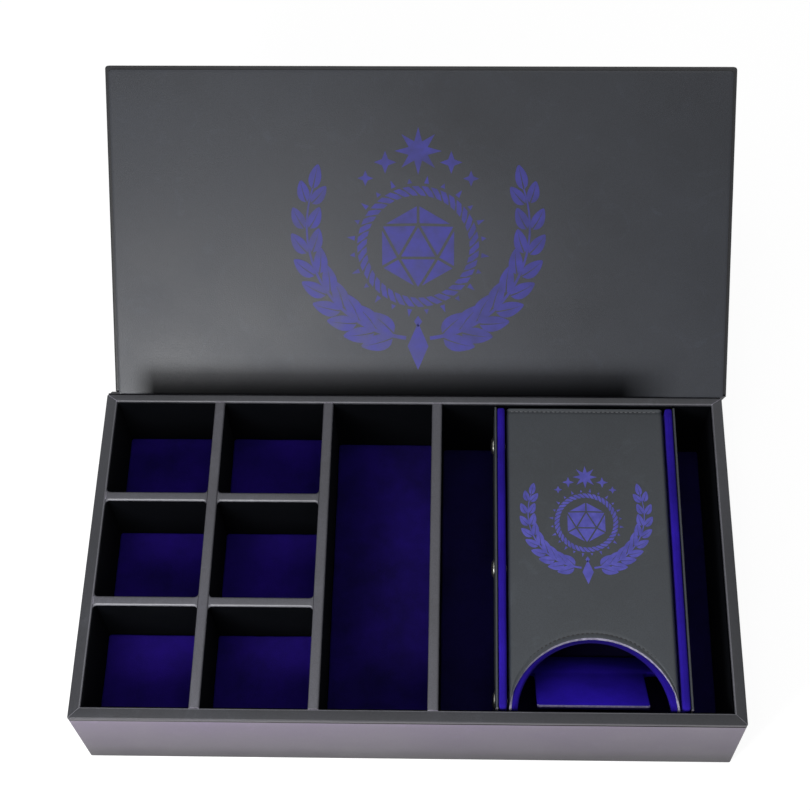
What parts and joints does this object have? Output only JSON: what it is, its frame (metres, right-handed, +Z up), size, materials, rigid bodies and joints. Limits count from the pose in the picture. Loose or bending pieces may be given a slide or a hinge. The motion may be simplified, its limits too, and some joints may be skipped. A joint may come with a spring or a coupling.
{
  "type": "dice tower box",
  "caption": "shallow leatherette case with a hinged lid, velvet-lined compartments and a snap-together dice tower lying in its bay",
  "frame": {"origin": "middle of the case's underside, on the surface it stands on", "axes": "X across the case's width with the tower bay at +X, Y from the front towards the hinge, Z up"},
  "size_m": [0.3425, 0.3236, 0.1823],
  "materials": {
    "case_leatherette": "fine-grained dark grey leatherette, satin",
    "divider_leatherette": "fine-grained dark grey leatherette, satin",
    "lid_leatherette": "fine-grained dark grey leatherette, soft sheen",
    "tower_leatherette": "smooth dark grey leatherette, stitched",
    "blue_velvet": "short-pile deep blue velvet",
    "black_velvet": "short-pile black velvet",
    "board": "raw fibreboard",
    "nickel": "bright nickel plate"
  },
  "bodies": {
    "case": {"base_cover": "case_leatherette", "base_board": "board", "front_wall_board": "board", "right_wall_board": "board", "rear_wall_board": "board", "left_wall_board": "board", "front_wall_wrap": "case_leatherette", "right_wall_wrap": "case_leatherette", "rear_wall_wrap": "case_leatherette", "left_wall_wrap": "case_leatherette", "front_lining": "black_velvet", "rear_lining": "black_velvet", "left_lining": "black_velvet", "right_lining": "black_velvet", "long_divider_1": "divider_leatherette", "long_divider_2": "divider_leatherette", "long_divider_3": "divider_leatherette", "rear_row_divider_1": "divider_leatherette", "rear_row_divider_2": "divider_leatherette", "front_row_divider_1": "divider_leatherette", "front_row_divider_2": "divider_leatherette", "small_pad_1": "blue_velvet", "small_pad_2": "blue_velvet", "small_pad_3": "blue_velvet", "small_pad_4": "blue_velvet", "small_pad_5": "blue_velvet", "small_pad_6": "blue_velvet", "long_pad": "blue_velvet", "bay_pad": "blue_velvet", "spine_board": "board", "case_hinge_cloth": "case_leatherette"},
    "lid": {"lid_wrap": "lid_leatherette", "lid_board": "board", "lid_lining": "lid_leatherette", "lid_hinge_cloth": "lid_leatherette"},
    "tower": {"tower_skin": "tower_leatherette", "tower_left_board": "blue_velvet", "tower_right_board": "blue_velvet", "tower_back_board": "blue_velvet", "tower_front_skin": "tower_leatherette", "tower_front_board": "blue_velvet", "exit_ramp": "blue_velvet", "upper_ramp": "blue_velvet", "middle_ramp": "blue_velvet", "left_snap_cap_1": "nickel", "left_snap_cap_2": "nickel", "left_snap_cap_3": "nickel", "right_snap_cap_1": "nickel", "right_snap_cap_2": "nickel", "right_snap_cap_3": "nickel", "left_snap_stud_1": "nickel", "left_snap_stud_2": "nickel", "left_snap_stud_3": "nickel", "right_snap_stud_1": "nickel", "right_snap_stud_2": "nickel", "right_snap_stud_3": "nickel"}
  },
  "joints": [
    {"name": "lid_hinge", "type": "hinge", "parent": "case", "child": "lid", "pos_m": [0, 0.092, 0.0653], "axis": [1, 0, 0], "range_deg": [0, 139]},
    {"name": "tower_shift", "type": "slide", "parent": "case", "child": "tower", "axis": [1, 0, 0], "range_m": [-0.0265, 0.017]}
  ]
}
